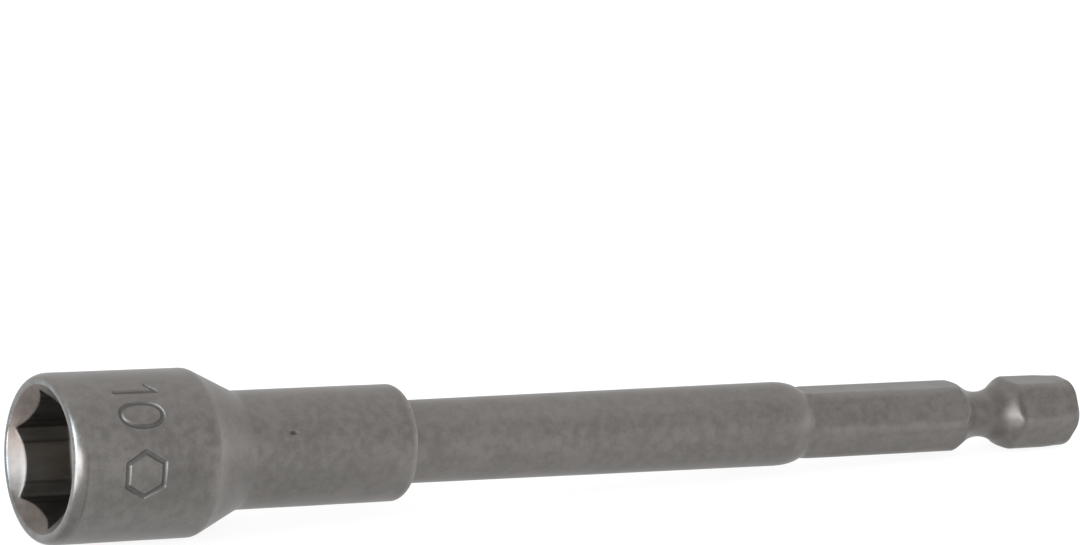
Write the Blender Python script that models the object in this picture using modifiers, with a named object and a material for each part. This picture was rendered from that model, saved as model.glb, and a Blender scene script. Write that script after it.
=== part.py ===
"""Long magnetic nut-setter socket: 10 mm hexagon mouth, round shaft, 1/4 inch hexagon power shank.

Frame: the tool's axis is X. The origin is the centre of the shank's end face, the mouth is at -X, +Z is up and
one flat of the shank faces up. Inside the rig, local +Z runs from the shank end to the mouth.
"""
import math

import bpy
import bmesh

MM = 0.001

# ---- driving dimensions, millimetres ------------------------------------------------------------------------------
# Stations are distances from the mouth's front plane, going back along the tool.
LENGTH = 110.0            # overall
HEAD_R = 7.43             # head outside radius
COLLAR_R = 5.25           # collar outside radius
SHAFT_R_FRONT = 3.73      # shaft radius where it leaves the collar
SHAFT_R_REAR = 3.93       # shaft radius before the shoulder (slight forging draft)

LIP_LAND_IN = 6.58        # front land, inner radius (largest radius of the lead-in)
LIP_LAND_OUT = 6.76       # front land, outer radius
LIP_LENGTH = 1.05         # length of the rounded outer lip
CONE_START = 13.84        # virtual corner between head and cone
CONE_ANGLE = 25.8         # degrees from the axis
CONE_FILLET = 3.4         # blend radius at both ends of the cone
COLLAR_END = 34.82        # rear face of the collar
COLLAR_EDGE = 0.50        # rounding of the collar's rear edge

HEX_AF = 10.14            # mouth hexagon across flats (10 mm fastener plus clearance)
HEX_CORNER_R = 6.03       # relieved corners reach this radius
HEX_FLAT_HALF = 1.75      # half length of the working flat on each side
HEX_CLOCK = 20.0          # degrees, first corner from +Z towards +Y
HEX_DEPTH = 5.83          # floor of the mouth
LEAD_SLOPE = 1.372        # lead-in: radius lost per millimetre of depth

GAP = 0.30                # clearance drawn between pressed pieces
MAGNET_R = 2.17
MAGNET_FACE = 5.50        # magnet face station
MAGNET_REAR = 10.55
SLEEVE_R_IN = 2.47
SLEEVE_R_OUT = 2.88
SLEEVE_FACE = 5.55
CEMENT_FACE = 5.75        # bond line lies a little below the two faces
CEMENT_SLACK = 0.05       # bond line to its neighbours
BORE_STEP = 10.60         # magnet pocket ends, shaft bore begins
SPIGOT_FRONT = 10.90      # shaft's front end, the magnet's stop

KNURL_FROM = 16.0         # straight knurl that carries the torque in the press fit
KNURL_TO = 28.0
KNURL_TEETH = 24
KNURL_RISE = 0.12

SHOULDER_START = 75.75    # shaft rounds down to the neck
SHOULDER_END = 78.20
NECK_R_FRONT = 3.27
NECK_R_REAR = 3.44
NECK_END = 79.70
SHANK_AF = 6.35           # 1/4 inch hexagon
SHANK_CORNER = 1.30       # corner rounding
GROOVE_AT = 99.40         # detent groove, middle
GROOVE_R = 2.16           # groove root radius
GROOVE_ARC = 4.40         # radius of the groove's section
GROOVE_FRONT_ANGLE = 33.0 # degrees, straight flanks beyond the arc
GROOVE_REAR_ANGLE = 36.0
END_ROUND_LEN = 0.80      # domed shank end
END_ROUND_R = 1.80

STEPS_HEAD = 64
STEPS_SHAFT = 48

# ---- clean scene ------------------------------------------------------------------------------------------------
for old in list(bpy.data.objects):
    bpy.data.objects.remove(old, do_unlink=True)

parts_coll = bpy.data.collections.new("nut_setter")
cut_coll = bpy.data.collections.new("cutters")
bpy.context.scene.collection.children.link(parts_coll)
bpy.context.scene.collection.children.link(cut_coll)

# local +Z (towards the mouth) becomes world -X, local +X becomes world +Z
rig = bpy.data.objects.new("tool_axis", None)
rig.empty_display_size = 0.01
rig.rotation_euler = (0.0, -math.pi / 2, 0.0)
parts_coll.objects.link(rig)


def station(t):
    """Local z in metres of a station t (mm behind the mouth)."""
    return (LENGTH - t) * MM


def material(name, colour, roughness, metallic):
    mat = bpy.data.materials.new(name)
    mat.use_nodes = True
    bsdf = mat.node_tree.nodes["Principled BSDF"]
    bsdf.inputs["Base Color"].default_value = (*colour, 1.0)
    bsdf.inputs["Roughness"].default_value = roughness
    bsdf.inputs["Metallic"].default_value = metallic
    return mat


def as_part(obj, mat, parent=rig):
    obj.parent = parent
    obj.data.materials.clear()
    obj.data.materials.append(mat)
    return obj


def as_cutter(obj):
    obj.parent = rig
    obj.hide_render = True
    obj.display_type = 'WIRE'
    return obj


def turned(name, profile, steps, coll):
    """Solid of revolution about local Z. profile: (radius mm, station mm) from the mouth end down the outer side."""
    mesh = bpy.data.meshes.new(name)
    bm = bmesh.new()
    last = None
    for r, t in profile:
        v = bm.verts.new((r * MM, 0.0, station(t)))
        if last is not None:
            bm.edges.new((last, v))
        last = v
    bm.to_mesh(mesh)
    bm.free()
    obj = bpy.data.objects.new(name, mesh)
    coll.objects.link(obj)
    screw = obj.modifiers.new("turn", 'SCREW')
    screw.axis = 'Z'
    screw.steps = steps
    screw.render_steps = steps
    screw.angle = 2 * math.pi
    screw.use_merge_vertices = True
    screw.merge_threshold = 1e-6
    screw.use_smooth_shade = True
    return obj


def ring(name, r_in, r_out, t0, t1, ch, steps, coll):
    """Turned ring with small chamfers, as a closed loop profile."""
    loop = [(r_in + ch, t0), (r_out - ch, t0), (r_out, t0 + ch), (r_out, t1 - ch), (r_out - ch, t1), (r_in + ch, t1),
            (r_in, t1 - ch), (r_in, t0 + ch), (r_in + ch, t0)]
    return turned(name, loop, steps, coll)


def prism(name, outline, t0, t1, coll):
    """Flat outline [(x mm, y mm)] as a filled 2D curve, extruded between two stations, returned as a mesh object."""
    curve = bpy.data.curves.new(name + "_outline", 'CURVE')
    curve.dimensions = '2D'
    curve.fill_mode = 'BOTH'
    curve.extrude = abs(t1 - t0) * MM / 2
    spline = curve.splines.new('POLY')
    spline.points.add(len(outline) - 1)
    for p, (x, y) in zip(spline.points, outline):
        p.co = (x * MM, y * MM, 0.0, 1.0)
    spline.use_cyclic_u = True
    temp = bpy.data.objects.new(name + "_outline", curve)
    coll.objects.link(temp)
    bpy.context.view_layer.update()
    mesh = bpy.data.meshes.new_from_object(temp.evaluated_get(bpy.context.evaluated_depsgraph_get()))
    bm = bmesh.new()
    bm.from_mesh(mesh)
    bmesh.ops.remove_doubles(bm, verts=bm.verts, dist=1e-7)
    bmesh.ops.translate(bm, verts=bm.verts, vec=(0.0, 0.0, (station(t0) + station(t1)) / 2))
    bmesh.ops.recalc_face_normals(bm, faces=bm.faces)
    bm.to_mesh(mesh)
    bm.free()
    bpy.data.objects.remove(temp, do_unlink=True)
    bpy.data.curves.remove(curve)
    obj = bpy.data.objects.new(name, mesh)
    coll.objects.link(obj)
    return obj


def boolean(target, tool, operation):
    mod = target.modifiers.new(operation.lower() + "_" + tool.name, 'BOOLEAN')
    mod.operation = operation
    mod.solver = 'EXACT'
    mod.object = tool
    return mod


def arc(r0, t0, radius, a0, a1, n):
    """Points of an arc centred at (r0, t0): angle measured from +radius towards +station."""
    out = []
    for i in range(n + 1):
        a = a0 + (a1 - a0) * i / n
        out.append((r0 + radius * math.cos(a), t0 + radius * math.sin(a)))
    return out


def quarter(r_from, r_to, t_from, t_to, n):
    """Quarter ellipse that leaves (r_from, t_from) along the axis and ends square to it at (r_to, t_to)."""
    out = []
    for i in range(n + 1):
        s = math.pi / 2 * i / n
        out.append((r_from - (r_from - r_to) * (1 - math.cos(s)), t_from + (t_to - t_from) * math.sin(s)))
    return out


def hex_mouth_outline():
    """Relieved hexagon: a working flat on each side, then two relief faces that open to the corner."""
    half = HEX_AF / 2
    pts = []
    for k in range(6):
        corner = math.radians(HEX_CLOCK + 60 * k)
        pts.append((HEX_CORNER_R * math.cos(corner), HEX_CORNER_R * math.sin(corner)))
        mid = corner + math.radians(30)
        nx, ny = math.cos(mid), math.sin(mid)
        for side in (-HEX_FLAT_HALF, HEX_FLAT_HALF):
            pts.append((half * nx - side * ny, half * ny + side * nx))
    return pts


def shank_outline():
    """Rounded hexagon with a flat facing local +X (world +Z)."""
    half = SHANK_AF / 2
    centre = (half - SHANK_CORNER) / math.cos(math.radians(30))
    pts = []
    for k in range(6):
        corner = math.radians(30 + 60 * k)
        for i in range(5):
            a = corner + math.radians(-30 + 15 * i)
            pts.append((centre * math.cos(corner) + SHANK_CORNER * math.cos(a),
                        centre * math.sin(corner) + SHANK_CORNER * math.sin(a)))
    return pts


# ---- materials ----------------------------------------------------------------------------------------------------
steel_head = material("blasted_steel_head", (0.180, 0.172, 0.160), 0.55, 1.0)
steel_shaft = material("blasted_steel_shaft", (0.180, 0.172, 0.160), 0.55, 1.0)
nickel = material("nickel_plate", (0.72, 0.73, 0.72), 0.22, 1.0)
brass = material("brass", (0.62, 0.47, 0.22), 0.35, 1.0)
cement = material("cement", (0.030, 0.027, 0.026), 0.80, 0.0)

# ---- socket head ---------------------------------------------------------------------------------------------------
beta = math.radians(CONE_ANGLE)
cone_end = CONE_START + (HEAD_R - COLLAR_R) / math.tan(beta)
blend = CONE_FILLET * math.tan(beta / 2)
profile = [(0.0, 0.0), (LIP_LAND_OUT, 0.0)]
for i in range(1, 6):
    s = math.pi / 2 * i / 5
    profile.append((LIP_LAND_OUT + (HEAD_R - LIP_LAND_OUT) * math.sin(s), LIP_LENGTH * (1 - math.cos(s))))
profile += arc(HEAD_R - CONE_FILLET, CONE_START - blend, CONE_FILLET, 0.0, beta, 5)
profile += [(COLLAR_R + CONE_FILLET - r, t) for r, t in
            [(CONE_FILLET * math.cos(a), cone_end + blend - CONE_FILLET * math.sin(a))
             for a in [beta * (5 - i) / 5 for i in range(6)]]]
profile += quarter(COLLAR_R, COLLAR_R - COLLAR_EDGE, COLLAR_END - COLLAR_EDGE, COLLAR_END, 4)
profile += [(0.0, COLLAR_END)]
head = as_part(turned("socket_head", profile, STEPS_HEAD, parts_coll), steel_head)

mouth = as_cutter(prism("cut_hex_mouth", hex_mouth_outline(), -2.0, HEX_DEPTH, cut_coll))
lead = as_cutter(turned("cut_lead_in", [(0.0, -1.0), (LIP_LAND_IN + LEAD_SLOPE, -1.0), (LIP_LAND_IN, 0.0),
                                        (LIP_LAND_IN - LEAD_SLOPE * 3.0, 3.0), (0.0, 3.0)], STEPS_HEAD, cut_coll))
pocket_r = SLEEVE_R_OUT + GAP
bore_r = SHAFT_R_FRONT + GAP
bores = as_cutter(turned("cut_bores", [(0.0, 3.5), (pocket_r, 3.5), (pocket_r, BORE_STEP), (bore_r, BORE_STEP),
                                       (bore_r, COLLAR_END - 0.35), (bore_r + 0.35, COLLAR_END),
                                       (bore_r + 1.35, COLLAR_END + 1.0), (0.0, COLLAR_END + 1.0)], STEPS_SHAFT, cut_coll))
for tool in (lead, mouth, bores):
    boolean(head, tool, 'DIFFERENCE')

# ---- drive shaft: spigot, shaft, shoulder, neck and hexagon shank ----------------------------------------------------
profile = [(0.0, SPIGOT_FRONT), (SHAFT_R_FRONT - 0.55, SPIGOT_FRONT), (SHAFT_R_FRONT - 0.05, SPIGOT_FRONT + 0.6),
           (SHAFT_R_FRONT - 0.05, KNURL_TO + 3.0), (SHAFT_R_FRONT, COLLAR_END)]
profile += quarter(SHAFT_R_REAR, NECK_R_FRONT, SHOULDER_START, SHOULDER_END, 6)
profile += [(NECK_R_REAR, NECK_END), (2.6, NECK_END + 1.6), (0.0, NECK_END + 1.6)]
shaft = as_part(turned("drive_shaft", profile, STEPS_SHAFT, parts_coll), steel_shaft)

shank = as_cutter(prism("shank_hex", shank_outline(), SHOULDER_END - 0.6, LENGTH, cut_coll))
env = [(0.0, SHOULDER_END - 1.2), (NECK_R_FRONT - 0.05, SHOULDER_END - 1.2), (NECK_R_FRONT - 0.05, NECK_END - 0.9),
       (4.0, NECK_END + 0.7)]
front, rear = math.radians(GROOVE_FRONT_ANGLE), math.radians(GROOVE_REAR_ANGLE)
root = arc(GROOVE_R + GROOVE_ARC, GROOVE_AT, GROOVE_ARC, math.pi + front, math.pi - rear, 14)
env.append((4.0, root[0][1] - (4.0 - root[0][0]) / math.tan(front)))
env += root
env.append((4.0, root[-1][1] + (4.0 - root[-1][0]) / math.tan(rear)))
corner_reach = (SHANK_AF / 2 - SHANK_CORNER) / math.cos(math.radians(30)) + SHANK_CORNER
env += [(4.0, LENGTH - END_ROUND_LEN - 0.8)]
env += quarter(corner_reach + 0.02, corner_reach + 0.02 - END_ROUND_R, LENGTH - END_ROUND_LEN, LENGTH, 6)[:-1]
env += [(corner_reach + 0.02 - END_ROUND_R, LENGTH), (corner_reach - END_ROUND_R, LENGTH + 0.6), (0.0, LENGTH + 0.6)]
envelope = as_cutter(turned("shank_envelope", env, STEPS_SHAFT, cut_coll))
boolean(shank, envelope, 'INTERSECT')
boolean(shaft, shank, 'UNION')

knurl = []
for k in range(KNURL_TEETH):
    a = 2 * math.pi * k / KNURL_TEETH
    half = math.pi / KNURL_TEETH
    knurl.append(((SHAFT_R_FRONT + KNURL_RISE) * math.cos(a), (SHAFT_R_FRONT + KNURL_RISE) * math.sin(a)))
    knurl.append(((SHAFT_R_FRONT - 0.15) * math.cos(a + half), (SHAFT_R_FRONT - 0.15) * math.sin(a + half)))
splines = as_cutter(prism("spigot_knurl", knurl, KNURL_FROM, KNURL_TO, cut_coll))
boolean(shaft, splines, 'UNION')

# ---- magnet, its cement and its sleeve ------------------------------------------------------------------------------
ch = 0.15
as_part(turned("magnet", [(0.0, MAGNET_FACE), (MAGNET_R - ch, MAGNET_FACE), (MAGNET_R, MAGNET_FACE + ch),
                          (MAGNET_R, MAGNET_REAR - ch), (MAGNET_R - ch, MAGNET_REAR), (0.0, MAGNET_REAR)],
               STEPS_SHAFT, parts_coll), nickel)
as_part(ring("magnet_cement", MAGNET_R + CEMENT_SLACK, SLEEVE_R_IN - CEMENT_SLACK, CEMENT_FACE, MAGNET_REAR - 0.1, 0.03,
             STEPS_SHAFT, parts_coll), cement)
as_part(ring("magnet_sleeve", SLEEVE_R_IN, SLEEVE_R_OUT, SLEEVE_FACE, MAGNET_REAR, 0.08, STEPS_SHAFT, parts_coll), brass)

bpy.context.view_layer.update()
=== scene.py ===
"""Looks of the long magnetic nut-setter socket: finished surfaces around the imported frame, camera, floor and light.

Frame: the tool's axis is X, the mouth faces -X, the shank ends at the origin. A station t is millimetres behind the
mouth. An angle psi goes round the axis from +Z towards +Y.
"""
import math

import bpy
import numpy as np
from mathutils import Matrix, Vector


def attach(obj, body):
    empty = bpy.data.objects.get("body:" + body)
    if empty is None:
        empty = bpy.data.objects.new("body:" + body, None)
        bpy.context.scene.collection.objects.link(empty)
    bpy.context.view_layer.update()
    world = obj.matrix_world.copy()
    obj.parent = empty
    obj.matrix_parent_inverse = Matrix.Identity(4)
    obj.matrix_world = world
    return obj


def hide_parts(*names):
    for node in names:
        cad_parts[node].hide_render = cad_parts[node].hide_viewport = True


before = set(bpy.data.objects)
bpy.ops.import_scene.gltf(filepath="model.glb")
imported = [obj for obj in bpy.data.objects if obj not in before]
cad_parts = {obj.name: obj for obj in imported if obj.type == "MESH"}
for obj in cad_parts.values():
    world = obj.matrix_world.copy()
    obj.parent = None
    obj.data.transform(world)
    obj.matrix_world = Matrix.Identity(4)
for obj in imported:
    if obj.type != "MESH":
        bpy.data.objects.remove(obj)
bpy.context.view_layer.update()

MM = 0.001
LENGTH = 110.0

# ---- head ----
HEAD_R, COLLAR_R = 7.43, 5.25
LIP_LAND_IN, LIP_LAND_OUT, LIP_LENGTH = 6.56, 6.86, 1.04
CONE_START, CONE_ANGLE = 13.84, 25.8
CONE_FILLET_FRONT, CONE_FILLET_REAR = 0.9, 2.3
COLLAR_END, COLLAR_EDGE = 34.82, 0.50
HEX_AF, HEX_CORNER_R, HEX_FLAT_HALF, HEX_CLOCK = 10.14, 6.03, 1.75, 20.0
HEX_DEPTH, LEAD_SLOPE = 5.83, 1.22
POCKET_R, BORE_STEP = 2.91, 10.60
LIP_ROWS = 16

# ---- shaft and shank ----
SHAFT_R_FRONT, SHAFT_R_REAR = 3.73, 3.93
SPIGOT_FRONT = 10.90
KNURL_FROM, KNURL_TO, KNURL_TEETH = 16.0, 28.0, 24
SHOULDER_START, SHOULDER_END, SHOULDER_POWER, SHOULDER_FLOOR = 75.60, 78.62, 2.30, 2.60
NECK_START, NECK_R, NECK_SLOPE = 77.5, 3.18, 0.142
SHANK_AF, BLOCK_AF = 6.34, 6.50
SHANK_CORNER, BLOCK_CORNER = 1.36, 1.20
GROOVE_AT, GROOVE_R = 99.47, 2.16
GROOVE_ARC_FRONT, GROOVE_ARC_REAR = 4.34, 4.40
GROOVE_ANGLE_FRONT, GROOVE_ANGLE_REAR = 30.0, 40.0
SHANK_END, END_ROUND_LEN, END_ROUND_R, END_POWER = 109.73, 0.46, 0.62, 2.0
TIP_AF, TIP_CORNER = 6.52, 2.30

# ---- magnet ----
MAGNET_R, MAGNET_FACE, MAGNET_REAR = 2.17, 5.50, 10.55
SLEEVE_R_IN, SLEEVE_R_OUT, SLEEVE_FACE = 2.47, 2.88, 5.55
CEMENT_FACE = 5.68

# ---- size mark engraved on the head: digits with their tops towards the shank ----
MARK_PSI = -64.5          # degrees, middle of the mark
MARK_STROKE = 0.39
MARK_DEPTH = 0.14
MARK_T = (4.35, 9.25)     # stations that the mark needs fine rows for
MARK_SPAN = (-118.5, -11.5)
PIT_T, PIT_PSI = 22.2, -58.2    # a small dent on the collar


# =====================================================================================================================
# mesh helpers
# =====================================================================================================================
def smoothstep(a, b, x):
    q = np.clip((x - a) / (b - a), 0.0, 1.0)
    return q * q * (3 - 2 * q)


def wave_noise(a, b, count, low, high, seed):
    """Smooth repeatable unevenness over two coordinates, about -1 to 1: a sum of sines of random direction."""
    r = np.random.default_rng(seed)
    out = np.zeros(np.broadcast(a, b).shape)
    for _ in range(count):
        k = r.uniform(low, high)
        d = r.uniform(0, 2 * math.pi)
        out += np.sin(k * (math.cos(d) * a + math.sin(d) * b) + r.uniform(0, 2 * math.pi))
    return out / math.sqrt(count)


def rounded_hexagon(psi, across_flats, corner, first_corner):
    """Radius of a hexagon with corner fillets, at angles psi in degrees. Arrays broadcast."""
    half = across_flats / 2
    d = np.radians((psi - first_corner + 30.0) % 60.0 - 30.0)       # angle from the nearest corner
    centre = (half - corner) / math.cos(math.radians(30))
    flat = half / np.cos(math.radians(30) - np.abs(d))
    inside = np.maximum(corner ** 2 - (centre * np.sin(d)) ** 2, 0.0)
    arc = centre * np.cos(d) + np.sqrt(inside)
    touch = np.arctan2(corner * math.sin(math.radians(30)), centre + corner * math.cos(math.radians(30)))
    return np.where(np.abs(d) < touch, arc, flat)


def socket_hexagon(psi):
    """Radius of the relieved wrench hexagon: a working flat, then two faces that open to a small-radius corner."""
    fine = np.arange(0.0, 60.0, 0.05)
    d = np.radians(np.abs(fine - 30.0))                              # from the middle of a flat
    half = HEX_AF / 2
    cx, cy = HEX_CORNER_R * math.cos(math.radians(30)), HEX_CORNER_R * math.sin(math.radians(30))
    lean = (cx - half) / (cy - HEX_FLAT_HALF)
    relief = (half - lean * HEX_FLAT_HALF) / (1 - lean * np.tan(d)) / np.cos(d)
    r = np.maximum(half / np.cos(d), 0) * (np.tan(d) * half <= HEX_FLAT_HALF) + relief * (np.tan(d) * half > HEX_FLAT_HALF)
    kernel = np.exp(-0.5 * (np.arange(-80, 81) * 0.05 / 1.3) ** 2)  # rounds the corners and the ends of the flats
    r = np.convolve(np.concatenate([r[-80:], r, r[:80]]), kernel / kernel.sum(), mode="valid")
    return np.interp((psi - HEX_CLOCK) % 60.0, np.append(fine, 60.0), np.append(r, r[0]))


def ring_object(name, t, r, psi, masks, loop, material):
    """Object from rings of points round the tool's axis. t and r are rows x angles in millimetres. A loop joins its
    last row to its first, anything else is closed by a point on the axis at each end. masks become attributes."""
    rows, n = r.shape
    a = np.radians(psi)[None, :]
    co = np.stack([t - LENGTH, r * np.sin(a), r * np.cos(a)], -1).reshape(-1, 3) * MM
    i = np.arange(rows if loop else rows - 1)[:, None]
    j = np.arange(n)[None, :]
    k, m = (i + 1) % rows, (j + 1) % n
    quads = np.stack([i * n + j, i * n + m, k * n + m, k * n + j], -1).reshape(-1, 4)
    run = np.zeros(rows + 1)
    steps = np.hypot(np.diff(t.mean(1)), np.diff(r.mean(1)))
    run[1:rows] = np.cumsum(np.maximum(steps, 1e-4))
    run[rows] = run[rows - 1] + np.hypot(t[0].mean() - t[-1].mean(), r[0].mean() - r[-1].mean()) + 1e-4
    run /= run[rows if loop else rows - 1]
    u = np.append(np.cumsum(np.diff(np.append(psi, psi[0] + 360.0))), 0.0)
    u = np.concatenate([[0.0], u[:-1]]) / 360.0
    faces = quads.tolist()
    shape = np.broadcast_to(i, (len(i), n))
    uv = np.stack([np.stack([np.broadcast_to(u[:n], shape.shape), run[shape]], -1),
                   np.stack([np.broadcast_to(u[1:], shape.shape), run[shape]], -1),
                   np.stack([np.broadcast_to(u[1:], shape.shape), run[shape + 1]], -1),
                   np.stack([np.broadcast_to(u[:n], shape.shape), run[shape + 1]], -1)], 2).reshape(-1, 2)
    uv[:, 1] = 0.02 + 0.96 * uv[:, 1]
    if not loop:
        ends = np.array([[t[0].mean() - LENGTH, 0, 0], [t[-1].mean() - LENGTH, 0, 0]]) * MM
        co = np.concatenate([co, ends])
        first, last = rows * n, rows * n + 1
        q = (rows - 1) * n
        caps = [(first, (x + 1) % n, x) for x in range(n)] + [(last, q + x, q + (x + 1) % n) for x in range(n)]
        faces += caps
        low = np.array([[(u[x] + u[x + 1]) / 2, 0.001] if v < 0 else [u[x + (v == 1)], 0.02]
                        for x in range(n) for v in (-1, 1, 0)])
        high = np.array([[(u[x] + u[x + 1]) / 2, 0.999] if v < 0 else [u[x + (v == 1)], 0.98]
                         for x in range(n) for v in (-1, 0, 1)])
        uv = np.concatenate([uv, low, high])
    uv = 0.004 + 0.992 * uv
    mesh = bpy.data.meshes.new(name)
    mesh.from_pydata(co.tolist(), [], faces)
    layer = mesh.uv_layers.new(name="OFBake")
    layer.data.foreach_set("uv", uv.astype(np.float32).ravel())
    for key, value in masks.items():
        flat = np.broadcast_to(value, (rows, n)).reshape(-1)
        if not loop:
            flat = np.concatenate([flat, [flat[0], flat[-1]]])
        mesh.attributes.new(key, "FLOAT", "POINT").data.foreach_set("value", flat.astype(np.float32))
    tri = co[quads]
    signed = np.einsum("ij,ij->i", tri[:, 0], np.cross(tri[:, 1], tri[:, 2])).sum() + \
        np.einsum("ij,ij->i", tri[:, 0], np.cross(tri[:, 2], tri[:, 3])).sum()
    if signed < 0:
        mesh.flip_normals()
    mesh.shade_smooth()
    mesh.materials.append(material)
    obj = bpy.data.objects.new(name, mesh)
    bpy.context.scene.collection.objects.link(obj)
    return obj


# =====================================================================================================================
# material helpers
# =====================================================================================================================
class Tree:
    """Short names for the nodes that the finishes use. Values may be numbers, colours or sockets."""

    def __init__(self, name):
        self.mat = bpy.data.materials.new(name)
        self.mat.use_nodes = True
        self.nodes, self.links = self.mat.node_tree.nodes, self.mat.node_tree.links
        self.bsdf = self.nodes["Principled BSDF"]
        place = self.nodes.new("ShaderNodeTexCoord")
        scale = self.nodes.new("ShaderNodeMapping")
        scale.inputs["Scale"].default_value = (1000.0, 1000.0, 1000.0)   # coordinates in millimetres
        self.links.new(place.outputs["Object"], scale.inputs["Vector"])
        self.mm = scale.outputs["Vector"]

    def put(self, socket, value):
        if isinstance(value, bpy.types.NodeSocket):
            self.links.new(value, socket)
        elif isinstance(value, tuple) and len(value) == 3 and socket.type == "RGBA":
            socket.default_value = (*value, 1.0)
        else:
            socket.default_value = value

    def attribute(self, name):
        n = self.nodes.new("ShaderNodeAttribute")
        n.attribute_name = name
        return n.outputs["Fac"]

    def stretched(self, x, y, z):
        n = self.nodes.new("ShaderNodeMapping")
        n.inputs["Scale"].default_value = (x, y, z)
        self.links.new(self.mm, n.inputs["Vector"])
        return n.outputs["Vector"]

    def noise(self, scale, detail=3.0, rough=0.55, vector=None):
        n = self.nodes.new("ShaderNodeTexNoise")
        self.links.new(vector or self.mm, n.inputs["Vector"])
        n.inputs["Scale"].default_value = scale
        n.inputs["Detail"].default_value = detail
        n.inputs["Roughness"].default_value = rough
        return n.outputs["Fac"]

    def cells(self, scale, feature="F1"):
        n = self.nodes.new("ShaderNodeTexVoronoi")
        n.feature = feature
        self.links.new(self.mm, n.inputs["Vector"])
        n.inputs["Scale"].default_value = scale
        return n.outputs["Distance"]

    def math(self, op, a, b=0.0, clamp=False):
        n = self.nodes.new("ShaderNodeMath")
        n.operation, n.use_clamp = op, clamp
        self.put(n.inputs[0], a)
        self.put(n.inputs[1], b)
        return n.outputs[0]

    def remap(self, value, a, b, c, d):
        n = self.nodes.new("ShaderNodeMapRange")
        n.interpolation_type = "SMOOTHSTEP"
        for i, v in enumerate((value, a, b, c, d)):
            self.put(n.inputs[i], v)
        return n.outputs[0]

    def mix(self, fac, a, b):
        n = self.nodes.new("ShaderNodeMix")
        colour = isinstance(a, tuple) or isinstance(b, tuple) or getattr(a, "type", "") == "RGBA"
        n.data_type = "RGBA" if colour else "FLOAT"
        i, o = ((6, 7), 2) if colour else ((2, 3), 0)
        self.put(n.inputs[0], fac)
        self.put(n.inputs[i[0]], a)
        self.put(n.inputs[i[1]], b)
        return n.outputs[o]

    def bump(self, height, strength, distance_mm, normal=None):
        n = self.nodes.new("ShaderNodeBump")
        n.inputs["Strength"].default_value = strength
        n.inputs["Distance"].default_value = distance_mm * MM
        self.links.new(height, n.inputs["Height"])
        if normal is not None:
            self.links.new(normal, n.inputs["Normal"])
        return n.outputs["Normal"]

    def finish(self, colour, roughness, normal=None, metallic=1.0):
        self.put(self.bsdf.inputs["Base Color"], colour)
        self.put(self.bsdf.inputs["Roughness"], roughness)
        self.bsdf.inputs["Metallic"].default_value = metallic
        if normal is not None:
            self.links.new(normal, self.bsdf.inputs["Normal"])
        return self.mat


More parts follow.
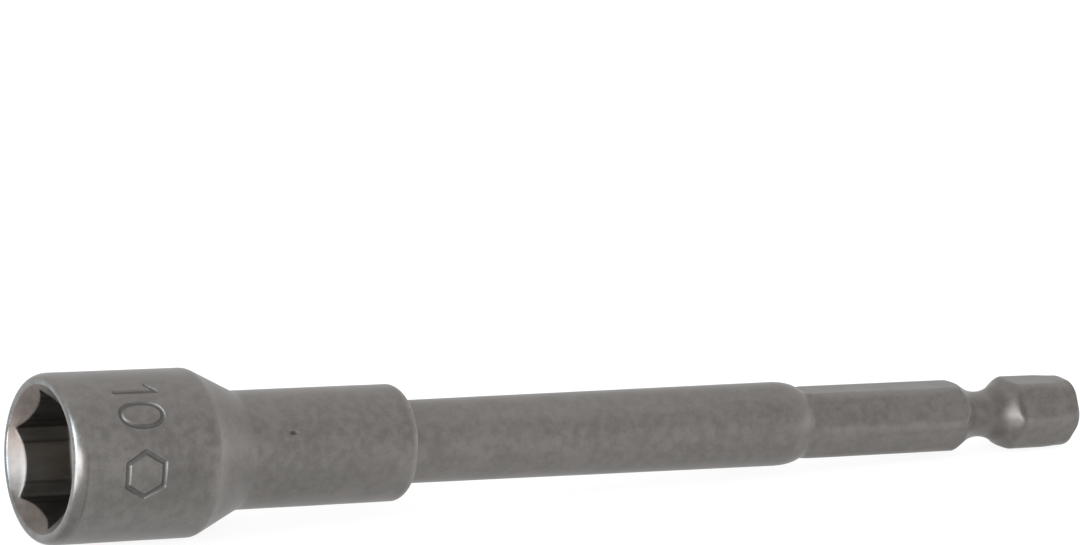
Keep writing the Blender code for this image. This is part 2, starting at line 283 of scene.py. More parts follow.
def blasted_steel(name, dark, light, with_mouth):
    """Bead-blasted tool steel: warm grey with a faint mottle, fine grain and a few small pits; edges, cone and shoulder
    are painted lighter as painted highlights, partly also edge wear, and grooves and undersides are painted darker as
    painted shade, with some dirt.
    With with_mouth also a turned bright lip, a lead-in painted darker as painted shade, broached walls painted dark as
    painted shade in the mouth, and a darkened engraved mark."""
    s = Tree(name)
    blotch = s.noise(0.30, 3.0, 0.55)
    patch = s.noise(1.15, 2.0, 0.55)
    grain = s.noise(4.5, 2.0, 0.6)
    micro = s.noise(14.0, 2.0, 0.6)
    tone = s.math("ADD", s.math("MULTIPLY", blotch, 0.30), s.math("MULTIPLY", patch, 0.52))
    tone = s.math("ADD", tone, s.math("MULTIPLY", grain, 0.18))
    colour = s.mix(s.remap(tone, 0.37, 0.63, 0.0, 1.0), dark, light)
    pit_size = s.math("MULTIPLY", s.noise(0.8, 1.0), 0.16)
    pits = s.remap(s.math("SUBTRACT", s.cells(0.85), s.math("SUBTRACT", pit_size, 0.050)), -0.03, 0.02, 1.0, 0.0)
    colour = s.mix(s.math("MULTIPLY", pits, 0.35), colour, (0.070, 0.064, 0.060))
    rough = s.remap(patch, 0.3, 0.7, 0.41, 0.48)

    # edge_wear_and_painted_light lightens the colour: painted highlights on edges, cone and shoulder, partly also real
    # edge wear
    edge_wear_and_painted_light = s.math("MULTIPLY", s.attribute("edge_wear_and_painted_light"), s.remap(s.noise(2.6, 3.0), 0.30, 0.58, 0.55, 1.0), clamp=True)
    colour = s.mix(edge_wear_and_painted_light, colour, (0.262, 0.248, 0.236))
    rough = s.mix(edge_wear_and_painted_light, rough, 0.42)
    rough = s.mix(s.attribute("sheen"), rough, s.remap(patch, 0.3, 0.7, 0.32, 0.39))

    # dirt_and_painted_shade darkens the colour: mostly painted shade in the groove, behind and under the lip, on the
    # head's near side and underside and in the mouth's corners, with some dirt in the collar's pit
    dirt_and_painted_shade = s.attribute("dirt_and_painted_shade")
    if not with_mouth:
        colour = s.mix(dirt_and_painted_shade, colour, (0.040, 0.034, 0.030))

    height = s.math("ADD", s.math("MULTIPLY", grain, 0.6), s.math("MULTIPLY", micro, 0.4))
    height = s.math("SUBTRACT", height, s.math("MULTIPLY", pits, 0.8))
    if with_mouth:
        lip, lead, wall, mark = s.attribute("lip"), s.attribute("lead"), s.attribute("wall"), s.attribute("mark")
        # the lead-in is painted darker than the steel as painted shade, standing in for a darker reflection
        lead_in_painted_dark = s.mix(s.remap(patch, 0.32, 0.66, 0.0, 1.0), (0.105, 0.088, 0.078), (0.127, 0.107, 0.096))
        colour = s.mix(lead, colour, lead_in_painted_dark)
        rough = s.mix(lead, rough, s.remap(patch, 0.3, 0.7, 0.33, 0.39))
        turned = s.noise(1.0, 2.0, 0.5, s.stretched(3.0, 0.7, 0.7))
        bright = s.mix(s.remap(turned, 0.34, 0.62, 0.0, 1.0), (0.166, 0.164, 0.163), (0.206, 0.205, 0.205))
        worn = s.math("MULTIPLY", lip, s.remap(s.noise(0.55, 2.0), 0.34, 0.56, 0.45, 1.0), clamp=True)
        colour = s.mix(worn, colour, bright)
        rough = s.mix(worn, rough, s.remap(patch, 0.3, 0.7, 0.22, 0.28))
        broached = s.noise(1.0, 2.0, 0.5, s.stretched(0.3, 1.6, 1.6))
        # the broached walls and floor of the mouth are painted dark as painted shade in the recess
        wall_painted_dark = s.mix(s.remap(broached, 0.3, 0.7, 0.0, 1.0), (0.066, 0.058, 0.051), (0.079, 0.070, 0.062))
        colour = s.mix(wall, colour, wall_painted_dark)
        rough = s.mix(wall, rough, s.remap(broached, 0.3, 0.7, 0.42, 0.48))
        # painted shade, with a little dirt, from dirt_and_painted_shade darkens the head
        colour = s.mix(dirt_and_painted_shade, colour, (0.030, 0.026, 0.023))
        colour = s.mix(s.math("MULTIPLY", mark, 0.50), colour, (0.050, 0.046, 0.043))
        rough = s.mix(mark, rough, 0.62)
        smooth_part = s.math("MAXIMUM", s.math("MAXIMUM", worn, lead), wall)
        height = s.math("MULTIPLY", height, s.math("SUBTRACT", 1.0, s.math("MULTIPLY", smooth_part, 0.9)))
    return s.finish(colour, rough, s.bump(height, 0.30, 0.022))


def nickel():
    s = Tree("nickel_plate_worn")
    stain = s.noise(1.1, 4.0, 0.6)
    fine = s.noise(6.0, 3.0, 0.6)
    colour = s.mix(s.remap(stain, 0.35, 0.65, 0.0, 1.0), (0.44, 0.44, 0.43), (0.58, 0.58, 0.575))
    chip = s.attribute("chip")
    colour = s.mix(chip, colour, (0.060, 0.056, 0.054))
    rough = s.mix(chip, s.remap(fine, 0.3, 0.7, 0.20, 0.32), 0.7)
    return s.finish(colour, rough, s.bump(s.math("ADD", fine, s.math("MULTIPLY", chip, s.noise(9.0))), 0.14, 0.02))


def brass():
    s = Tree("brass_tarnished")
    stain = s.noise(1.4, 4.0, 0.6)
    turned = s.noise(6.0, 2.0)
    colour = s.mix(s.remap(stain, 0.40, 0.62, 0.0, 1.0), (0.66, 0.47, 0.19), (0.34, 0.29, 0.20))
    return s.finish(colour, s.remap(stain, 0.35, 0.65, 0.26, 0.46), s.bump(turned, 0.2, 0.015))


def bond():
    s = Tree("cement_dark")
    lump = s.noise(5.0, 4.0, 0.6)
    colour = s.mix(s.remap(lump, 0.35, 0.65, 0.0, 1.0), (0.012, 0.011, 0.011), (0.045, 0.040, 0.036))
    return s.finish(colour, s.remap(lump, 0.3, 0.7, 0.45, 0.75), s.bump(lump, 0.5, 0.06), metallic=0.0)


# =====================================================================================================================
# socket head
# =====================================================================================================================
def mark_distance(t, psi):
    """Distance in millimetres from the nearest pen line of the size mark, over rows of t and columns of psi."""
    v = -(psi - MARK_PSI) * math.radians(1) * HEAD_R            # reading direction
    lines = [[(8.92, -5.06), (4.97, -5.10)], [(8.92, -5.06), (8.22, -5.92)]]
    o = np.radians(np.arange(0, 361, 7.5))
    lines.append([(6.74 + 2.00 * math.copysign(abs(math.cos(x)) ** 0.86, math.cos(x)),
                   -2.60 + 1.13 * math.copysign(abs(math.sin(x)) ** 0.92, math.sin(x))) for x in o])
    side = 3.45 / math.sqrt(3)
    lines.append([(6.62 + side * math.sin(math.radians(60 * k)), 2.75 + side * math.cos(math.radians(60 * k))) for k in range(7)])
    best = np.full(np.broadcast(t, v).shape, 9.0)
    for line in lines:
        for (u0, v0), (u1, v1) in zip(line, line[1:]):
            du, dv = u1 - u0, v1 - v0
            q = np.clip(((t - u0) * du + (v - v0) * dv) / (du * du + dv * dv), 0.0, 1.0)
            best = np.minimum(best, np.hypot(t - u0 - q * du, v - v0 - q * dv))
    return best


def head_angles():
    """Angles round the head: fine under the mark, and at the corners and flat ends of the mouth."""
    out = list(np.arange(MARK_SPAN[0], MARK_SPAN[1] + 0.01, 0.42))
    out += list(np.arange(MARK_SPAN[1] + 1.35, MARK_SPAN[0] + 360.0 - 0.5, 1.35))
    flat_end = math.degrees(math.atan2(HEX_FLAT_HALF, HEX_AF / 2))
    for k in range(6):
        corner = HEX_CLOCK + 60.0 * k
        for d in (-1.6, -1.0, -0.5, 0.0, 0.5, 1.0, 1.6):
            out.append(corner + d)
        for d in (30.0 - flat_end, 30.0 + flat_end):
            out += [corner + d - 0.5, corner + d + 0.5]
        for d in (-2.2, -1.3, 1.3, 2.2):
            out += [corner + 30.0 - flat_end + d, corner + 30.0 + flat_end + d]
    out = sorted(MARK_SPAN[0] + (x - MARK_SPAN[0]) % 360.0 for x in out)
    kept = [out[0]]
    for x in out[1:]:
        if x - kept[-1] > 0.22:
            kept.append(x)
    return np.array(kept)


def build_head(material):
    psi = head_angles()
    beta = math.radians(CONE_ANGLE)
    cone_end = CONE_START + (HEAD_R - COLLAR_R) / math.tan(beta)
    front_blend, rear_blend = CONE_FILLET_FRONT * math.tan(beta / 2), CONE_FILLET_REAR * math.tan(beta / 2)
    hexagon = socket_hexagon(psi)
    one = np.ones_like(psi)
    rows = []                                                    # (t, r, part) per row, each over psi

    def add(t, r, part):
        rows.append((t * one, r * one, part))

    for i in range(LIP_ROWS + 1):                                # rounded lip
        q = math.pi / 2 * i / LIP_ROWS
        add(LIP_LENGTH * (1 - math.cos(q)), LIP_LAND_OUT + (HEAD_R - LIP_LAND_OUT) * math.sin(q), "lip" if i < LIP_ROWS else "outer")
    start = CONE_START - front_blend
    for t in [1.25, 1.8, 2.6, 3.5] + list(np.arange(MARK_T[0], MARK_T[1], 0.060)) + [9.6, 10.3, 11.1, 11.9, 12.5, 12.9, start - 0.45, start - 0.2]:
        add(t, HEAD_R, "outer")
    for i in range(8):                                           # blend into the cone
        q = beta * i / 7
        add(start + CONE_FILLET_FRONT * math.sin(q), HEAD_R - CONE_FILLET_FRONT * (1 - math.cos(q)), "outer")
    t0, r0 = start + CONE_FILLET_FRONT * math.sin(beta), HEAD_R - CONE_FILLET_FRONT * (1 - math.cos(beta))
    t1, r1 = cone_end + rear_blend - CONE_FILLET_REAR * math.sin(beta), COLLAR_R + CONE_FILLET_REAR * (1 - math.cos(beta))
    for q in (0.25, 0.5, 0.75):
        add(t0 + (t1 - t0) * q, r0 + (r1 - r0) * q, "outer")
    for i in range(8):                                           # blend into the collar
        q = beta * (7 - i) / 7
        add(cone_end + rear_blend - CONE_FILLET_REAR * math.sin(q), COLLAR_R + CONE_FILLET_REAR * (1 - math.cos(q)), "outer")
    collar = [x for x in np.linspace(cone_end + rear_blend + 0.6, COLLAR_END - COLLAR_EDGE - 0.3, 14) if abs(x - PIT_T) > 0.7]
    for t in sorted(collar + list(np.arange(PIT_T - 0.56, PIT_T + 0.57, 0.08))):
        add(t, COLLAR_R, "outer")
    for i in range(8):                                           # collar's rear edge
        q = math.pi / 2 * i / 7
        add(COLLAR_END - COLLAR_EDGE * (1 - math.sin(q)), COLLAR_R - COLLAR_EDGE * (1 - math.cos(q)), "rim")
    bore = SHAFT_R_FRONT + 0.02
    add(COLLAR_END, bore + 0.22, "rim")
    add(COLLAR_END - 0.05, bore + 0.10, "bore")
    add(COLLAR_END - 0.20, bore, "bore")
    for t in (30.0, 24.0, 18.0, 13.0, BORE_STEP + 0.1):
        add(t, bore, "bore")
    add(BORE_STEP, bore - 0.1, "bore")
    add(BORE_STEP, POCKET_R + 0.05, "bore")
    for t in (BORE_STEP - 0.1, 8.0, HEX_DEPTH + 0.30):
        add(t, POCKET_R, "bore")
    add(HEX_DEPTH + 0.06, POCKET_R + 0.07, "wall")
    floor_in, fillet = POCKET_R + 0.22, 0.55
    for q in (0.0, 0.25, 0.5, 0.75, 1.0):                        # floor, out to the wall fillet
        add(HEX_DEPTH, floor_in + (hexagon - fillet - floor_in) * q, "wall")
    for i in range(1, 6):
        q = math.pi / 2 * i / 5
        add(HEX_DEPTH - fillet * (1 - math.cos(q)), hexagon - fillet * (1 - math.sin(q)), "wall")
    lead_t = (LIP_LAND_IN - hexagon) / LEAD_SLOPE                # where wall and lead-in meet
    for q in (0.15, 0.32, 0.5, 0.68, 0.84):
        add(HEX_DEPTH - fillet + (lead_t + 0.10 - HEX_DEPTH + fillet) * q, hexagon, "wall")
    add(lead_t + 0.10, hexagon, "wall")
    add(lead_t + 0.022, hexagon + 0.012, "wall")
    for q in (0.10, 0.35, 0.62, 0.88):
        add(lead_t * (1 - q), hexagon + (LIP_LAND_IN - hexagon) * q, "lead")
    add(0.050, LIP_LAND_IN - 0.045, "lead")
    add(0.016, LIP_LAND_IN - 0.005, "lip")
    add(0.0, LIP_LAND_IN + 0.045, "lip")

    t = np.array([x[0] for x in rows])
    r = np.array([x[1] for x in rows])
    part = np.array([x[2] for x in rows])[:, None]
    outer = np.isin(part, ["outer"])
    ring = psi[None, :]

    # the mark: a struck groove with a faint raised burr
    d = mark_distance(t, ring)
    width = MARK_STROKE * (1 + 0.10 * wave_noise(t, ring * 0.13, 5, 1.0, 4.0, 3))
    groove = (1 - smoothstep(width / 2 - 0.075, width / 2 + 0.065, d)) * outer
    depth = MARK_DEPTH * (1 + 0.15 * wave_noise(t, ring * 0.13, 4, 0.8, 2.5, 5))
    burr = np.exp(-((d - width / 2 - 0.08) / 0.06) ** 2) * outer
    arc = ring * math.radians(1) * HEAD_R
    uneven = 0.004 * wave_noise(t, arc, 9, 0.5, 2.2, 8) * outer
    dent = 1 - smoothstep(0.10, 0.34, np.hypot((t - PIT_T) * 0.62, (ring - PIT_PSI) * math.radians(1) * COLLAR_R * 1.25))
    r = r - groove * depth + burr * 0.016 + uneven - 0.10 * dent * outer

    # polished: the land and the first part of the lip's round
    order = np.arange(len(rows))[:, None]
    lip = np.where(order <= LIP_ROWS, 1.0 - smoothstep(0.02, 0.22, order / LIP_ROWS), 0.0) * np.ones_like(r)
    lip = np.where(order >= len(rows) - 3, 1.0, lip)
    lead = np.isin(part, ["lead"]) * 1.0
    # painted shade: a thin dark line behind the lip, the lip's underside, a band on the head's near side, the collar's
    # underside and the ends of the mouth's working flats are painted darker; the pit on the collar is darkened as dirt,
    # and a darker patch sits on the near side near station 10
    flat_end = math.degrees(math.atan2(HEX_FLAT_HALF, HEX_AF / 2))
    to_end = np.abs(np.abs((ring - HEX_CLOCK) % 60.0 - 30.0) - flat_end)
    down = (ring + 180.0) % 360.0 - 180.0                        # -180 to 180, 0 on top
    line = 0.20 + 0.80 * (1 - smoothstep(-86.0, -60.0, down)) * smoothstep(-178.0, -160.0, down)
    dirt_and_painted_shade = 0.34 * line * np.exp(-((t - 1.04) / 0.11) ** 2) * (order <= LIP_ROWS + 3) * (0.65 + 0.35 * np.clip(wave_noise(t, ring * 0.13, 6, 0.4, 1.6, 13), -1, 1))
    lip_underside_painted_shade = np.exp(-(((ring - MARK_PSI + 180.0) % 360.0 - 180.0 + 64.0) / 30.0) ** 2)
    dirt_and_painted_shade = dirt_and_painted_shade + 0.60 * dent * outer + 0.36 * lip_underside_painted_shade * smoothstep(0.03, 0.25, t) * (1 - smoothstep(0.7, 1.1, t)) * (order <= LIP_ROWS + 3)
    near_side_painted_shade = np.exp(-((down + 93.0) / 17.0) ** 2) * smoothstep(1.3, 2.6, t) * (1 - smoothstep(12.6, 13.5, t)) * outer
    dirt_and_painted_shade = dirt_and_painted_shade + 0.15 * near_side_painted_shade * (1 + 0.5 * np.clip(wave_noise(t, arc, 6, 0.25, 0.9, 17), -1, 1))
    blotch = np.exp(-((down + 87.0) / 13.0) ** 2 - ((t - 10.2) / 2.0) ** 2) * outer
    underside_painted_shade = np.exp(-((down + 104.0) / 24.0) ** 2) * smoothstep(17.0, 19.5, t) * (1 - smoothstep(31.5, 33.0, t)) * outer
    dirt_and_painted_shade = dirt_and_painted_shade + 0.20 * blotch + 0.14 * underside_painted_shade
    dirt_and_painted_shade = np.where(np.isin(part, ["wall"]), 0.75 * np.exp(-(to_end / 1.3) ** 2) * (1 - smoothstep(HEX_DEPTH - 0.7, HEX_DEPTH - 0.3, t)), np.clip(dirt_and_painted_shade, 0, 1))
    wall = np.isin(part, ["wall", "bore"]) * 1.0
    flat_floor = np.isclose(t, HEX_DEPTH) & np.isin(part, ["wall"])
    wall = np.where(flat_floor, 0.62, wall)
    # painted highlight: the collar's rear rim and a band where the cone starts are painted lighter, partly also edge
    # wear; the whole cone is painted a little lighter as painted light
    edge_wear_and_painted_light = np.isin(part, ["rim"]) * 0.45 + 0.05 * outer * smoothstep(CONE_START - 0.2, CONE_START + 0.6, t) * (1 - smoothstep(cone_end - 0.6, cone_end + 0.5, t)) \
        + 0.34 * outer * np.exp(-((t - CONE_START - 0.08) / 0.38) ** 2)
    sheen = (1.0 - smoothstep(0.70, 1.0, order / LIP_ROWS)) * (order <= LIP_ROWS) * np.ones_like(r)
    masks = {"lip": lip, "lead": lead, "wall": wall, "mark": np.maximum(groove, 0.9 * dent * outer), "edge_wear_and_painted_light": edge_wear_and_painted_light, "dirt_and_painted_shade": dirt_and_painted_shade,
             "sheen": sheen}
    return ring_object("head_body", t, r, psi, masks, True, material)


# =====================================================================================================================
# shaft, neck and hexagon shank
# =====================================================================================================================
def soft_min(a, b, k):
    """Smaller of a and b, with the corner between them rounded over about k."""
    h = np.clip(0.5 + 0.5 * (b - a) / k, 0.0, 1.0)
    return b + (a - b) * h - k * h * (1 - h)


def build_shaft(material):
    psi = np.arange(0.0, 360.0, 1.0)
    ring = psi[None, :]
    t_rows = [SPIGOT_FRONT + x for x in (0.0, 0.12, 0.3, 0.6, 1.2, 3.0)]
    t_rows += [KNURL_FROM - 0.3, KNURL_FROM, KNURL_FROM + 0.3, 19.0, 22.0, 25.0, KNURL_TO - 0.3, KNURL_TO, KNURL_TO + 0.3, 31.0]
    t_rows += list(np.linspace(33.6, SHOULDER_START - 0.6, 40)) + list(np.linspace(SHOULDER_START - 0.3, 79.6, 52))
    t_rows += list(np.linspace(79.7, 81.6, 14)) + list(np.linspace(82.0, 95.2, 15))
    t_rows += list(np.arange(95.4, 104.0, 0.08)) + list(np.linspace(104.2, SHANK_END - END_ROUND_LEN - 0.6, 14))
    t_rows += [SHANK_END - END_ROUND_LEN - 0.3, SHANK_END - END_ROUND_LEN - 0.1]
    t_rows += [SHANK_END - END_ROUND_LEN * (1 - math.sin(math.pi / 2 * i / 15)) for i in range(16)]
    t = np.array(t_rows)[:, None]

    # round part: press-fit spigot, shaft with a little draft, rounded shoulder
    draft = SHAFT_R_FRONT + (SHAFT_R_REAR - SHAFT_R_FRONT) * np.clip((t - COLLAR_END) / (SHOULDER_START - COLLAR_END), 0, 1)
    q = np.clip((t - SHOULDER_START) / (SHOULDER_END - SHOULDER_START), 0.0, 1.0)
    shoulder = SHOULDER_FLOOR + (SHAFT_R_REAR - SHOULDER_FLOOR) * np.maximum(1 - q ** SHOULDER_POWER, 0.0) ** (1 / SHOULDER_POWER)
    round_r = np.where(t < SHOULDER_START, draft, shoulder)
    nose = SHAFT_R_FRONT - 0.55 * (1 - np.clip((t - SPIGOT_FRONT) / 0.6, 0, 1)) ** 1.5
    round_r = np.where(t < 31.0, np.minimum(round_r - 0.03, nose), round_r)
    knurl = (0.5 + 0.5 * np.cos(np.radians(ring * KNURL_TEETH))) * 0.12
    band = smoothstep(KNURL_FROM - 0.2, KNURL_FROM + 0.2, t) * (1 - smoothstep(KNURL_TO - 0.2, KNURL_TO + 0.2, t))
    round_r = round_r - 0.10 * band + knurl * band

    # hexagon with soft corners, crisper and slightly tapered on the end block; the neck opens into it
    block = smoothstep(GROOVE_AT, GROOVE_AT + 2.5, t)
    long_run = rounded_hexagon(ring, SHANK_AF, SHANK_CORNER, 30.0)
    end_block = rounded_hexagon(ring, BLOCK_AF, BLOCK_CORNER, 30.0) - 0.03 * np.clip((t - 103.2) / (LENGTH - 103.2), 0, 1)
    end_block = end_block + (rounded_hexagon(ring, TIP_AF, TIP_CORNER, 30.0) - end_block) * smoothstep(106.6, 109.3, t)
    hexagon = long_run + (end_block - long_run) * block
    neck = NECK_R + NECK_SLOPE * np.maximum(t - NECK_START, 0.0)
    d = t - GROOVE_AT
    front, rear = math.radians(GROOVE_ANGLE_FRONT), math.radians(GROOVE_ANGLE_REAR)
    d0, d1 = -GROOVE_ARC_FRONT * math.sin(front), GROOVE_ARC_REAR * math.sin(rear)
    ball = np.where(d < 0, GROOVE_ARC_FRONT, GROOVE_ARC_REAR)
    groove = GROOVE_R + ball - np.sqrt(np.maximum(ball ** 2 - np.clip(d, d0, d1) ** 2, 0.0))
    groove = groove + np.maximum(d0 - d, 0.0) * math.tan(front) + np.maximum(d - d1, 0.0) * math.tan(rear)
    q = np.clip((t - (SHANK_END - END_ROUND_LEN)) / END_ROUND_LEN, 0.0, 1.0)
    end = hexagon - END_ROUND_R * (1 - np.maximum(1 - q ** END_POWER, 0.0) ** (1 / END_POWER)) + np.maximum(SHANK_END - END_ROUND_LEN - t, 0.0)
    soft = 0.06 + 0.22 * smoothstep(GROOVE_AT - 0.5, GROOVE_AT + 1.5, t)
    shank = soft_min(soft_min(hexagon, neck, 0.06), groove, soft)
    shank = soft_min(shank, end, 0.08 * smoothstep(SHANK_END - 3.0, SHANK_END - 1.2, t) + 1e-6)

    joined = -soft_min(-round_r, -shank, 0.36)                   # concave fillet between shoulder and neck
    r = np.where(t < 76.2, round_r, np.where(t < 79.5, joined, shank))
    arc = ring * math.radians(1) * 3.6
    seen = smoothstep(COLLAR_END - 2.0, COLLAR_END, t) * (1 - smoothstep(LENGTH - 0.5, LENGTH, t))
    r = r + 0.003 * wave_noise(t, arc, 9, 0.4, 1.8, 21) * seen

    # painted highlights: hex corners are lighter as painted highlight and edge wear, and the block's front corners
    # (rub) as painted highlight and rubbing; the shoulder band (worn), the upper front of the shaft and a spot on the
    # groove's front flank are painted lighter as painted light
    corner_wear_and_highlight = np.exp(-((ring % 60.0 - 30.0) / 8.0) ** 2) * smoothstep(79.0, 81.0, t) * (1 - smoothstep(LENGTH - 1.5, LENGTH - 0.5, t))
    ground = smoothstep(95.6, 96.6, t) * (1 - smoothstep(102.4, 103.2, t))
    rub = np.exp(-((ring % 60.0 - 30.0) / 15.0) ** 2) * smoothstep(GROOVE_AT + 1.75, GROOVE_AT + 2.0, t) * (1 - smoothstep(102.2, 102.9, t))
    worn = smoothstep(SHOULDER_START + 0.3, SHOULDER_START + 1.0, t) * (1 - smoothstep(SHOULDER_END - 0.8, SHOULDER_END - 0.1, t))
    upper_painted_highlight = np.exp(-(((ring + 180.0) % 360.0 - 180.0 + 44.0) / 16.0) ** 2) * smoothstep(33.0, 36.5, t) * (1 - smoothstep(64.0, 73.0, t))
    flank_painted_light = smoothstep(96.4, 96.8, t) * (1 - smoothstep(97.1, 97.7, t))
    edge_wear_and_painted_light = np.clip(0.17 * corner_wear_and_highlight * (1 - ground) + 0.04 * rub + 0.14 * worn + 0.19 * upper_painted_highlight + 0.20 * flank_painted_light, 0, 1)
    sheen = smoothstep(GROOVE_AT + 1.5, GROOVE_AT + 1.9, t) * (1 - smoothstep(102.6, 103.2, t)) * 0.03 * np.ones_like(r)
    # painted shade: the groove's rear flank, a smear on the groove's front side, and a streak and band over the end
    # block's highlight are painted darker, which tones the highlight down
    dirt_and_painted_shade = 0.40 * smoothstep(GROOVE_AT + 0.3, GROOVE_AT + 1.2, t) * (1 - smoothstep(GROOVE_AT + 1.55, GROOVE_AT + 2.35, t))
    front_painted_shade = np.exp(-(((ring + 180.0) % 360.0 - 180.0 + 82.0) / 28.0) ** 2)
    dirt_and_painted_shade = dirt_and_painted_shade + 0.32 * front_painted_shade * smoothstep(97.5, 98.5, t) * (1 - smoothstep(GROOVE_AT + 0.3, GROOVE_AT + 1.2, t))
    highlight_painted_shade = np.exp(-(((ring + 180.0) % 360.0 - 180.0 + 71.0) / 13.0) ** 2)
    dirt_and_painted_shade = dirt_and_painted_shade + 0.24 * highlight_painted_shade * smoothstep(GROOVE_AT + 0.6, GROOVE_AT + 1.4, t) * (1 - smoothstep(102.9, 103.4, t))
    dirt_and_painted_shade = dirt_and_painted_shade + 0.16 * smoothstep(GROOVE_AT + 1.5, GROOVE_AT + 2.3, t) * (1 - smoothstep(102.8, 103.4, t))
    dirt_and_painted_shade = dirt_and_painted_shade * (0.85 + 0.15 * np.clip(wave_noise(t, arc, 6, 0.5, 2.0, 27), -1, 1))
    return ring_object("shaft_body", np.broadcast_to(t, r.shape), r, psi, {"edge_wear_and_painted_light": edge_wear_and_painted_light, "dirt_and_painted_shade": dirt_and_painted_shade, "sheen": sheen}, False, material)


# =====================================================================================================================
# magnet, cement and brass sleeve
# =====================================================================================================================
def build_magnet(material):
    psi = np.arange(0.0, 360.0, 2.5)
    ring = psi[None, :]
    rows = [(MAGNET_FACE, MAGNET_R * q) for q in (0.04, 0.15, 0.28, 0.41, 0.53, 0.64, 0.74, 0.82, 0.88, 0.93)]
    rows += [(MAGNET_FACE + 0.09 * (1 - math.cos(a)), MAGNET_R - 0.09 * (1 - math.sin(a))) for a in np.linspace(0, math.pi / 2, 5)]
    rows += [(x, MAGNET_R) for x in (5.8, 6.1, 6.6, 7.6, 9.0, MAGNET_REAR - 0.15)]
    rows += [(MAGNET_REAR, MAGNET_R - 0.15), (MAGNET_REAR, 1.2), (MAGNET_REAR, 0.1)]
    t = np.array([x[0] for x in rows])[:, None] * np.ones_like(ring)
    r = np.array([x[1] for x in rows])[:, None] * np.ones_like(ring)
    front = t < 6.0
    y, z = r * np.sin(np.radians(ring)), r * np.cos(np.radians(ring))
    # a broken rim and two small spalls in the plating
    flake = 0.10 * wave_noise(y, z, 6, 3.0, 8.0, 31)
    broken = 1 - smoothstep(0.50, 0.66, np.hypot(y - 1.10, z - 1.88) + flake)
    spots = (1 - smoothstep(0.10, 0.17, np.hypot(y + 1.55, z - 0.20))) + (1 - smoothstep(0.07, 0.13, np.hypot(y + 1.42, z + 0.42)))
    chip = np.clip(broken + spots, 0, 1) * front
    t = t + 0.16 * broken * front + 0.05 * np.clip(spots, 0, 1) * front + 0.006 * wave_noise(y, z, 6, 0.8, 2.4, 33) * front
    return ring_object("magnet_disc", t, r, psi, {"chip": chip}, False, material)


def build_tube(name, loop_rows, psi_step, uneven, seed, material):
    """Closed ring from (station, radius) rows, with a little unevenness on its front."""
    psi = np.arange(0.0, 360.0, psi_step)
    ring = psi[None, :]
    t = np.array([x[0] for x in loop_rows])[:, None] * np.ones_like(ring)
    r = np.array([x[1] for x in loop_rows])[:, None] * np.ones_like(ring)
    front = t < min(x[0] for x in loop_rows) + 0.12
    arc = ring * math.radians(1) * 2.5
    t = t + uneven * wave_noise(arc, r * 2.0, 7, 0.8, 4.5, seed) * front
    return ring_object(name, t, r, psi, {}, True, material)


def rounded_loop(t0, t1, r0, r1, ch):
    """Outline of a ring's section, its four corners rounded."""
    out = []
    for ct, cr, a0 in ((t0 + ch, r0 + ch, 180), (t0 + ch, r1 - ch, 90), (t1 - ch, r1 - ch, 0), (t1 - ch, r0 + ch, -90)):
        for i in range(4):
            a = math.radians(a0 + 90 - 30 * i)
            out.append((ct + ch * math.cos(a), cr + ch * math.sin(a)))
    return out


steel_head = blasted_steel("blasted_steel_head_finish", (0.143, 0.1340, 0.1265), (0.176, 0.1650, 0.1558), True)
steel_shaft = blasted_steel("blasted_steel_shaft_finish", (0.143, 0.1340, 0.1265), (0.176, 0.1650, 0.1558), False)

head = build_head(steel_head)
shaft = build_shaft(steel_shaft)
magnet = build_magnet(nickel())
sleeve = build_tube("sleeve_ring", rounded_loop(SLEEVE_FACE, MAGNET_REAR, SLEEVE_R_IN, SLEEVE_R_OUT, 0.09), 2.5, 0.012, 41, brass())
cement = build_tube("cement_ring", rounded_loop(CEMENT_FACE, MAGNET_REAR - 0.1, MAGNET_R + 0.01, SLEEVE_R_IN - 0.01, 0.08), 2.0, 0.045, 43, bond())

for piece, node, slot in ((head, "socket_head", "blasted_steel_head"), (shaft, "drive_shaft", "blasted_steel_shaft"),
                          (magnet, "magnet", "nickel_plate"), (sleeve, "magnet_sleeve", "brass"), (cement, "magnet_cement", "cement")):
    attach(piece, "root")
    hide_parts(node)

# =====================================================================================================================
# camera, floor and light
# =====================================================================================================================
scene = bpy.context.scene
scene.view_settings.view_transform = "Standard"

cam = bpy.data.objects.new("camera", bpy.data.cameras.new("camera"))
cam.data.sensor_fit = "HORIZONTAL"
cam.data.sensor_width = 36.0
cam.data.lens = 166.667
cam.data.clip_start, cam.data.clip_end = 0.01, 20.0
right, up, back = Vector((0.853036, -0.509100, 0.114662)), Vector((0.024623, 0.258741, 0.965633)), Vector((-0.521271, -0.820896, 0.233250))
cam.matrix_world = Matrix.Translation((-0.296552, -0.369907, 0.120493)) @ Matrix((right, up, back)).transposed().to_4x4()
scene.collection.objects.link(cam)
scene.camera = cam

# The tool rests on the rear edge of its head and on the end of its shank, so the floor leans a little in this frame.
touch_head, touch_end = (-96.38, -HEAD_R - 0.006), (SHANK_END - END_ROUND_LEN - LENGTH, -TIP_AF / 2)
lean = math.atan2(touch_end[1] - touch_head[1], touch_end[0] - touch_head[0])
mesh = bpy.data.meshes.new("floor")
s = 3.0
mesh.from_pydata([(-s, -s, 0), (s, -s, 0), (s, s, 0), (-s, s, 0)], [], [(0, 1, 2, 3)])
floor = bpy.data.objects.new("floor", mesh)
floor.matrix_world = Matrix.Translation((touch_head[0] * MM, 0, touch_head[1] * MM - 0.00002)) @ Matrix.Rotation(-lean, 4, "Y")
scene.collection.objects.link(floor)
paper = bpy.data.materials.new("white_paper")
paper.use_nodes = True
sheet = paper.node_tree.nodes["Principled BSDF"]
sheet.inputs["Base Color"].default_value = (0.20, 0.20, 0.20, 1.0)
sheet.inputs["Roughness"].default_value = 0.9
sheet.inputs["Specular IOR Level"].default_value = 0.0
sheet.inputs["Emission Color"].default_value = (1.0, 1.0, 1.0, 1.0)
sheet.inputs["Emission Strength"].default_value = 0.86
mesh.materials.append(paper)

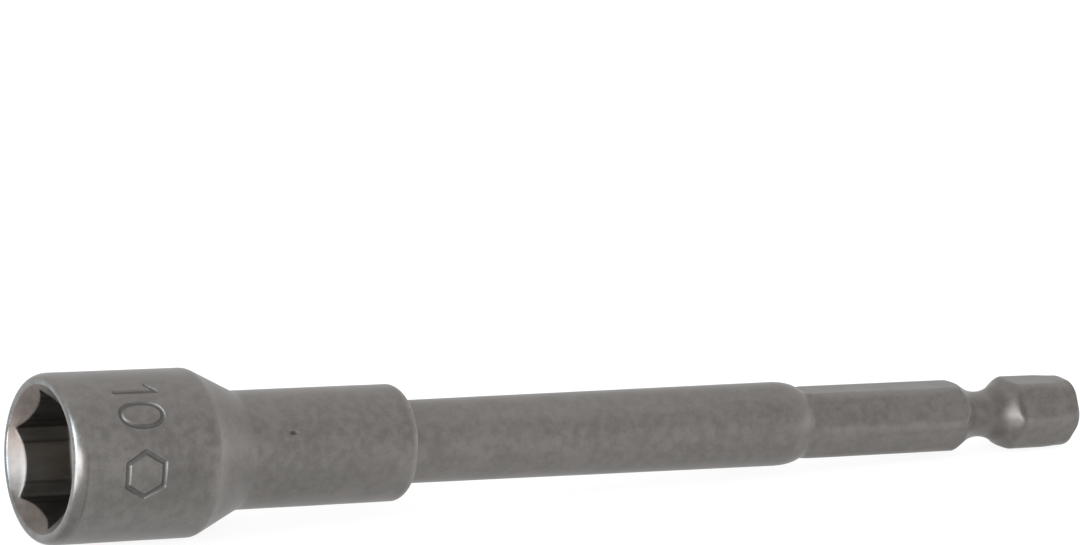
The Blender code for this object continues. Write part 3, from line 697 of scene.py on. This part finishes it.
# Even white surroundings, a little brighter at the back than at the front.
world = bpy.data.worlds.new("studio")
world.use_nodes = True
sky = world.node_tree
facing, slope, level = sky.nodes.new("ShaderNodeTexCoord"), sky.nodes.new("ShaderNodeVectorMath"), sky.nodes.new("ShaderNodeMath")
slope.operation, level.operation = "DOT_PRODUCT", "ADD"
slope.inputs[1].default_value = (0.0, 0.20, 0.03)
level.inputs[1].default_value = 1.02
sky.links.new(facing.outputs["Generated"], slope.inputs[0])
sky.links.new(slope.outputs["Value"], level.inputs[0])
sky.links.new(level.outputs["Value"], sky.nodes["Background"].inputs["Strength"])
sky.nodes["Background"].inputs["Color"].default_value = (1.0, 1.0, 1.0, 1.0)
scene.world = world


def softbox(name, place, aim, width, height, radiance, colour=(1.0, 1.0, 1.0)):
    """Area light of a given brightness, seen only by the object."""
    data = bpy.data.lights.new(name, "AREA")
    data.shape, data.size, data.size_y, data.energy = "RECTANGLE", width, height, radiance * math.pi * width * height
    data.color = colour
    obj = bpy.data.objects.new(name, data)
    obj.location = place
    obj.rotation_euler = (Vector(aim) - Vector(place)).to_track_quat("-Z", "Y").to_euler()
    obj.visible_camera = False
    scene.collection.objects.link(obj)
    return obj


def low_softbox(name, x, y, width, height, radiance):
    """Area light that lies just over the floor and faces up."""
    obj = softbox(name, (0, 0, 0), (0, 0, 1), width, height, radiance)
    x -= touch_head[0] * MM
    obj.matrix_world = floor.matrix_world @ Matrix.Translation((x, y, 0.0004)) @ Matrix.Rotation(math.pi, 4, "X")


middle, cool = (-0.055, 0.0, 0.0), (0.93, 0.965, 1.0)
softbox("key_left", (-0.60, -0.85, 0.18), (-0.06, 0.0, 0.0), 0.80, 0.56, 8.0, cool)
softbox("fill_right", (1.20, -0.42, 0.23), middle, 1.6, 0.35, 0.85)
softbox("top", (-0.05, 0.1, 1.6), middle, 2.4, 1.8, 0.16)
softbox("mouth_left", (-0.2275, -0.041, 0.045), (-0.11, 0.004, 0.0), 0.066, 0.104, 12.5, (0.73, 0.885, 1.0))
low_softbox("low_left", -0.157, -0.018, 0.045, 0.050, 9.0)
low_softbox("low_right", 0.265, -0.10, 0.47, 0.50, 1.0)
